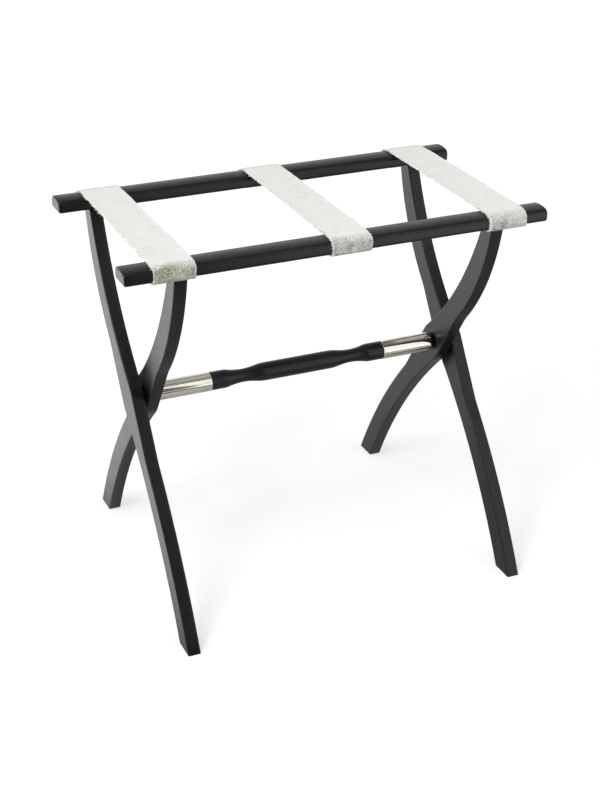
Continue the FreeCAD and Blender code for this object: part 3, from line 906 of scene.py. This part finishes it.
def strapRuns():
    # (length, turn in degrees, rows) along the strap's outer face, from end to end
    low = extent("front_rail")[0]
    arch, archHalf, _, sideTop = railSection("front_rail")
    under, over = rail["underRound"], rail["overRound"]
    stand = strap["clear"] + strap["thick"]    # of the outer face from the wood
    crown = math.degrees(math.asin(archHalf / arch))
    rows = strap["rows"]
    turnDown = [
        (strap["flapReach"] - under, 0, rows["flap"]),
        (math.radians(90) * (under + stand), 90, rows["under"]),
        (sideTop - low.z - under, 0, rows["side"]),
        (math.radians(90 - crown) * (over + stand), 90 - crown, rows["over"]),
        (math.radians(crown) * (arch + stand), crown, rows["crown"]),
    ]
    span = extent("back_rail")[0].y - low.y
    start = Vector((0, low.y + strap["flapReach"], low.z - stand))
    return start, turnDown + [(span, 0, rows["span"])] + turnDown[::-1]


def strapStations(runs):
    # distances along the strap of the grid's rows
    stations = [0.0]
    for length, _, rows in runs:
        begin = stations[-1]
        stations += [begin + length * (i + 1) / rows for i in range(rows)]
    return stations


def strapPlace(start, runs, distance):
    # place on the outer face and the way out of it, that far along the strap
    place, heading = start.copy(), math.pi
    for i, (length, turn, _) in enumerate(runs):
        part = min(distance, length) if i < len(runs) - 1 else distance
        bend = math.radians(turn) / length
        after = heading - bend * part
        if turn:
            place.y += (math.sin(heading) - math.sin(after)) / bend
            place.z += (math.cos(after) - math.cos(heading)) / bend
        else:
            place.y += part * math.cos(heading)
            place.z += part * math.sin(heading)
        heading = after
        distance -= part
        if distance <= spent:
            break
    return place, Vector((0, -math.sin(heading), math.cos(heading)))


def smoothStep(value, low, high):
    share = max(0.0, min(1.0, (value - low) / (high - low)))
    return share * share * (3 - 2 * share)


def cutNotch(bm, lowX, highX, lowS, highS):
    # removes a rectangle from the flat strap
    for place, axis in ((lowX, 0), (highX, 0), (lowS, 1), (highS, 1)):
        cutAt(bm, place, axis)
    inside = []
    for face in bm.faces:
        middle = face.calc_center_median()
        if lowX < middle.x < highX and lowS < middle.y < highS:
            inside.append(face)
    bmesh.ops.delete(bm, geom=inside, context="FACES")


def cutStrap(sideName, middle, width, stations):
    # the flat strap, along Y, with edge loops by its cut edges and notches for the legs
    rows, total = len(stations) - 1, stations[-1]
    bm = bmesh.new()
    bmesh.ops.create_grid(bm, x_segments=strap["columns"], y_segments=rows, size=0.5)
    for vert in bm.verts:
        row = round((vert.co.y + 0.5) * rows)
        vert.co = (middle + vert.co.x * width, stations[row], 0)
    for inward in strap["edgeLoops"]:
        for way in sides.values():
            cutAt(bm, middle + way * (width / 2 - inward))
    if sideName not in sides:
        return bm
    for frameName in railOf:
        legLow, legHigh = extent("%s_leg_%s" % (frameName, sideName))
        near, far = sorted(abs(corner.y) for corner in extent(railOf[frameName]))
        legOut = (near + far) / 2 + leg["topShift"] + leg["topWidth"] / 2
        depth = legOut + strap["notchClear"] - (far - strap["flapReach"])
        span = (-1, depth) if frameName == "inner" else (total - depth, total + 1)
        cutNotch(bm, legLow.x - strap["notchClear"], legHigh.x + strap["notchClear"], *span)
    return bm


def bendStrap(bm, sideName, middle, width, start, runs, total):
    # marks the hide on the flat strap, then lays it over the rails
    run = bm.loops.layers.uv.new("run")
    turned = bm.verts.layers.float.new("turned")
    straw = bm.verts.layers.float.new("straw")
    border = bm.verts.layers.float.new("border")
    cutFrom = strap["cutFrom"][sideName]
    for face in bm.faces:
        for loop in face.loops:
            loop[run].uv = (loop.vert.co.y * mm, (loop.vert.co.x - middle + cutFrom) * mm)
    onRail = sum(length for length, _, _ in runs[:len(runs) // 2])
    for vert in bm.verts:
        across, along = vert.co.x - middle, vert.co.y
        place, out = strapPlace(start, runs, along)
        fromEnd = min(along, total - along)
        free = smoothStep(fromEnd, onRail, onRail + strap["freeOver"])
        vert[turned] = 1 - smoothStep(fromEnd, *strap["greyTo"])
        # the strap's share of the darker, yellower painted shade
        vert[straw] = strap["straw"][sideName]
        # 1 by the cut edges, where the hair gets a painted highlight
        vert[border] = 1 - smoothStep(width / 2 - abs(across), *strap["edgeLoops"])
        # middle, side and the last number only choose the place in the noise
        sizeAcross, sizeAlong = strap["rippleSize"]
        side = middle + math.copysign(20, across)
        wave = noise.noise(Vector((across / sizeAcross + middle, along / sizeAlong, 0.3)))
        wander = noise.noise(Vector((along / strap["wanderSize"], side, 0.7)))
        rim = abs(2 * across / width)
        lift = strap["ripple"] * wave + strap["edgeLift"] * rim ** strap["liftPower"]
        astray = rim ** strap["wanderPower"] * strap["edgeWander"] * wander
        vert.co = place + out * (free * lift)
        vert.co.x = middle + across + astray
    bmesh.ops.recalc_face_normals(bm, faces=bm.faces)
    top = max(bm.faces, key=lambda f: f.calc_center_median().z)
    if top.normal.z < 0:
        bmesh.ops.reverse_faces(bm, faces=bm.faces)


def thickenStrap(piece):
    # inward; the second material goes on the cut edges and the third on the flesh side
    wall = piece.modifiers.new("thickness", "SOLIDIFY")
    wall.thickness = strap["thick"] * mm
    wall.offset = -1
    wall.use_even_offset = True
    wall.material_offset = 2
    wall.material_offset_rim = 1
    applyModifiers(piece)
    for face in piece.data.polygons:
        face.use_smooth = face.material_index != 1    # square cut edges


# the free span between the rails' inner sides turns with both frames
bendZone = {
    "start": (0, extent("front_rail")[1].y * mm, extent("front_rail")[1].z * mm),
    "end": (0, extent("back_rail")[0].y * mm, extent("back_rail")[1].z * mm),
}


def makeStrap(sideName):
    node = "strap_" + sideName
    low, high = extent(node)
    middle, width = (low.x + high.x) / 2, high.x - low.x
    start, runs = strapRuns()
    stations = strapStations(runs)
    total = stations[-1]
    bm = cutStrap(sideName, middle, width, stations)
    bendStrap(bm, sideName, middle, width, start, runs, total)
    materials = [finishes["hide"], finishes["edge"], finishes["flesh"]]
    piece = addPiece(node + "_hide", bm, materials, [node])
    thickenStrap(piece)
    hairs = makeHairs(node, middle, width, start, runs, total)
    for soft in (piece, hairs):
        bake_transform(soft, "inner_frame", "outer_frame", **bendZone)
    total * mm


# Hairs that stand out from the straps' cut edges, thicker in some places

hairEdge = {
    "pitch": 0.18,
    "share": {-1: 0.75, 1: 0.16},    # the nap lies to the left, so few show on the right
    "length": {-1: (0.9, 4.8), 1: (0.7, 2.8)},    # shortest and longest, left and right
    "root": 0.24,              # radii of a hair
    "tip": 0.05,
    "inset": 0.3,              # of the roots from the cut edge
    "sunk": 0.05,              # least depth of the roots under the outer face
    "combed": 0.9,             # lean along the edge, either way
    "raised": (-0.3, 0.25),    # lean in or out of the strap's face
    "clumpSize": 9.0,
    "clumpShare": 1.6,
    "clumpLength": (0.7, 0.8),     # share of the length between clumps, and what a clump adds
    "thinFrom": (70.0, 115.0),     # from each end, where the hairs get fewer
    "thin": 0.25,
    "tuft": 600,               # corners in a tuft before it joins the rest
    "seed": 41,
}


def gather(whole, tuft):
    # small meshes joined now and then are much quicker than one that keeps growing
    mesh = bpy.data.meshes.new("tuft")
    tuft.to_mesh(mesh)
    tuft.clear()
    whole.from_mesh(mesh)
    bpy.data.meshes.remove(mesh)


def makeHairs(node, middle, width, start, runs, total):
    dice = random.Random(hairEdge["seed"] + round(middle))
    whole, tuft = bmesh.new(), bmesh.new()
    plain, clumped = hairEdge["clumpLength"]
    for way in sides.values():
        short, long = hairEdge["length"][way]
        side = middle + 9 * way    # chooses the place in the noise
        for i in range(round(total / hairEdge["pitch"])):
            along = (i + dice.random()) * hairEdge["pitch"]
            clump = noise.noise(Vector((along / hairEdge["clumpSize"], side, 0)))
            share = hairEdge["share"][way] * (1 + hairEdge["clumpShare"] * clump)
            free = smoothStep(min(along, total - along), *hairEdge["thinFrom"])
            share *= 1 - (1 - hairEdge["thin"]) * free
            if along > total or dice.random() > share:
                continue
            place, out = strapPlace(start, runs, along)
            longer = (long - short) * dice.random() ** 2
            length = short + longer * (plain + clumped * max(0, clump))
            aim = Vector((way, 0, 0))
            aim += alongX.cross(out) * dice.uniform(-hairEdge["combed"], hairEdge["combed"])
            aim += out * dice.uniform(*hairEdge["raised"])
            aim.normalize()
            root = place - out * dice.uniform(hairEdge["sunk"], strap["thick"] / 2)
            root.x = middle + way * (width / 2 - hairEdge["inset"])
            lean = aim.to_track_quat("Z", "Y").to_matrix().to_4x4()
            bmesh.ops.create_cone(
                tuft, cap_ends=True, segments=3, radius1=hairEdge["root"],
                radius2=hairEdge["tip"], depth=length,
                matrix=Matrix.Translation(root + aim * length / 2) @ lean)
            if len(tuft.verts) > hairEdge["tuft"]:
                gather(whole, tuft)
    gather(whole, tuft)
    tuft.free()
    return addPiece(node + "_edge_hair", whole, [finishes["hair"]], [])


for sideName in ("left", "middle", "right"):
    makeStrap(sideName)
print("straps: 3")


# Hardware that stays as it is gets its finish

for material in frame["record"]["materials"]:
    slotName = material["slot"]
    if slotName not in hardware:
        continue
    for node in frame["nodes"].values():
        for slot in node.material_slots:
            if slot.material and slot.material.name.startswith(slotName):
                slot.material = finishes[slotName]
print("hardware finished")


# Studio: a pale floor, a soft sky, a tall key lamp on the left and two panels for the gloss.
# In reflections only, the floor glows with painted light and shade: dark in front, a painted
# pool of light on the left and a painted shadow under the bench

floor = {
    "size": 14.0,
    "shade": (0.55, 0.55, 0.55),
    "glow": (0.56, 0.68),      # brings the floor up to white for the camera, near and behind
    "edgeGlow": 0.30,          # more of it, far from the bench
    # glow seen only in reflections, painted light and shade on the floor: under is a painted shadow under the
    # bench, left a painted pool of light
    "front": (0.08, 0.79),     # in gloss, well in front of the bench, left and right
    "near": 0.50,              # just in front
    "under": (0.24, 0.42, 0.22),   # under the left legs, the middle and the right legs
    "far": 0.86,               # behind
    "left": (1.15, 1.60, 1.95),    # left of it, in front, behind and further out
}
zones = {                      # where one of these tones turns into the next, on X or on Y
    "frontAcross": (0.10, 0.60),
    "frontToNear": (-0.90, -0.50),
    "nearToUnder": (-0.30, -0.05),
    "underLeft": (-0.18, -0.06),
    "underRight": (0.16, 0.34),
    "underToFar": (-0.05, 0.50),
    "leftEdge": (-0.30, -0.18),
    "leftStart": (-0.26, -0.10),
    "leftBack": (-0.10, 0.25),
    "leftOut": (-0.66, -0.40),
    "glow": (0.0, 1.2),
    "edgeGlow": (1.4, 4.5),    # distance from the middle of the bench
}
sky = {
    "horizon": 0.95,
    "top": 0.50,
    "front": 0.12,
    "soft": (0.97, 0.21),      # lights the pale straps, left and right
    "rise": (0.25, 0.80),      # heights between which the horizon turns into the top
    "turn": (-0.45, 0.10),     # the front into the rest
    "across": (-0.9, 0.9),
}
lamps = {
    "key": {
        "place": (-1.75, -1.05, 2.45),
        "aim": (0.0, 0.0, 0.35),
        "size": (0.45, 1.7),
        "power": 35.0,
    },
    "panel": {                 # in front on the right
        "place": (0.98, -1.1, 0.85),
        "aim": (0.98, -0.1, 0.85),
        "size": (1.56, 1.7),
        "power": 9.0,
    },
    "upper": {                 # above the panel, for the arches of the rails
        "place": (0.7, -1.1, 2.4),
        "aim": (0.7, -0.1, 2.4),
        "size": (0.8, 1.4),
        "power": 2.1,
    },
}


def floorFinish():
    material, finish = newFinish("floor_pale")
    seen = finish.add("ShaderNodeLightPath", {}, {}, "Is Camera Ray")
    glossy = Wire(finish, seen.socket.node.outputs["Is Glossy Ray"])
    place = finish.place()
    away = finish.add("ShaderNodeVectorMath", {"operation": "LENGTH"}, {0: place}, "Value")
    across = finish.add("ShaderNodeSeparateXYZ", {}, {0: place})
    depth = Wire(finish, across.socket.node.outputs["Y"])

    def turnInto(first, second, value, zone):
        return first + finish.ease(value, *zones[zone]) * (second - first)

    # the shine is glow seen only in reflections: painted light and shade, dark in front, a painted shadow under
    # the bench and a painted pool of light on the left
    fore = finish.ease(across, *zones["frontAcross"], *floor["front"])
    fore = turnInto(fore, floor["near"], depth, "frontToNear")
    underLeft, underMiddle, underRight = floor["under"]
    under = finish.ease(across, *zones["underLeft"], underLeft, underMiddle)
    under = turnInto(under, underRight, across, "underRight")
    inside = turnInto(under, floor["far"], depth, "underToFar")
    shine = turnInto(fore, inside, depth, "nearToUnder")
    leftFront, leftBack, leftOut = floor["left"]
    outer = finish.ease(depth, *zones["leftBack"], leftFront, leftBack)
    outer = turnInto(leftOut, outer, across, "leftOut")
    left = finish.ease(across, *zones["leftEdge"], 1.0, 0.0)
    left = left * finish.ease(depth, *zones["leftStart"])
    shine = shine + left * (outer - shine)
    white = finish.ease(depth, *zones["glow"], *floor["glow"])
    white = white + finish.ease(away, *zones["edgeGlow"], 0.0, floor["edgeGlow"])
    glow = seen * white + glossy * shine
    paint = finish.add("ShaderNodeBsdfDiffuse", {}, {"Color": floor["shade"]})
    light = finish.add("ShaderNodeEmission", {}, {"Color": (1, 1, 1), "Strength": glow})
    both = finish.add("ShaderNodeAddShader", {}, {0: paint, 1: light})
    plain = finish.add("ShaderNodeMixShader", {}, {0: glossy, 1: both, 2: light})
    finish.add("ShaderNodeOutputMaterial", {}, {"Surface": plain})
    return material


def makeFloor():
    bm = bmesh.new()
    bmesh.ops.create_grid(bm, x_segments=8, y_segments=8, size=floor["size"] / 2)
    mesh = bpy.data.meshes.new("floor")
    bm.to_mesh(mesh)
    bm.free()
    mesh.materials.append(floorFinish())
    ground = bpy.data.objects.new("floor", mesh)
    bpy.context.scene.collection.objects.link(ground)


def makeSky():
    world = bpy.data.worlds.new("sky")
    bpy.context.scene.world = world
    finish = Finish(world)
    seen = finish.add("ShaderNodeLightPath", {}, {}, "Is Camera Ray")
    glossy = Wire(finish, seen.socket.node.outputs["Is Glossy Ray"])
    toward = finish.add("ShaderNodeTexCoord", {}, {}, "Generated")
    across = finish.add("ShaderNodeSeparateXYZ", {}, {0: toward})
    back = Wire(finish, across.socket.node.outputs["Y"])
    height = Wire(finish, across.socket.node.outputs["Z"])
    rest = finish.ease(height, *sky["rise"], sky["horizon"], sky["top"])
    shine = sky["front"] + finish.ease(back, *sky["turn"]) * (rest - sky["front"])
    soft = finish.ease(across, *sky["across"], *sky["soft"])
    strength = soft + glossy * (shine - soft)
    strength = strength + seen * (1.0 - strength)    # white for the camera
    light = finish.add("ShaderNodeBackground", {}, {"Color": (1, 1, 1), "Strength": strength})
    finish.add("ShaderNodeOutputWorld", {}, {"Surface": light})


def makeLamp(name, place, aim, size, power):
    data = bpy.data.lights.new(name, "AREA")
    data.shape = "RECTANGLE"
    data.size, data.size_y = size
    data.energy = power
    lamp = bpy.data.objects.new(name, data)
    lamp.location = place
    lamp.rotation_mode = "QUATERNION"
    lamp.rotation_quaternion = (Vector(aim) - Vector(place)).to_track_quat("-Z", "Y")
    lamp.visible_camera = False
    bpy.context.scene.collection.objects.link(lamp)


makeFloor()
makeSky()
for name, look in lamps.items():
    makeLamp(name, **look)
bpy.context.scene.view_settings.view_transform = "Standard"
print("studio ready")
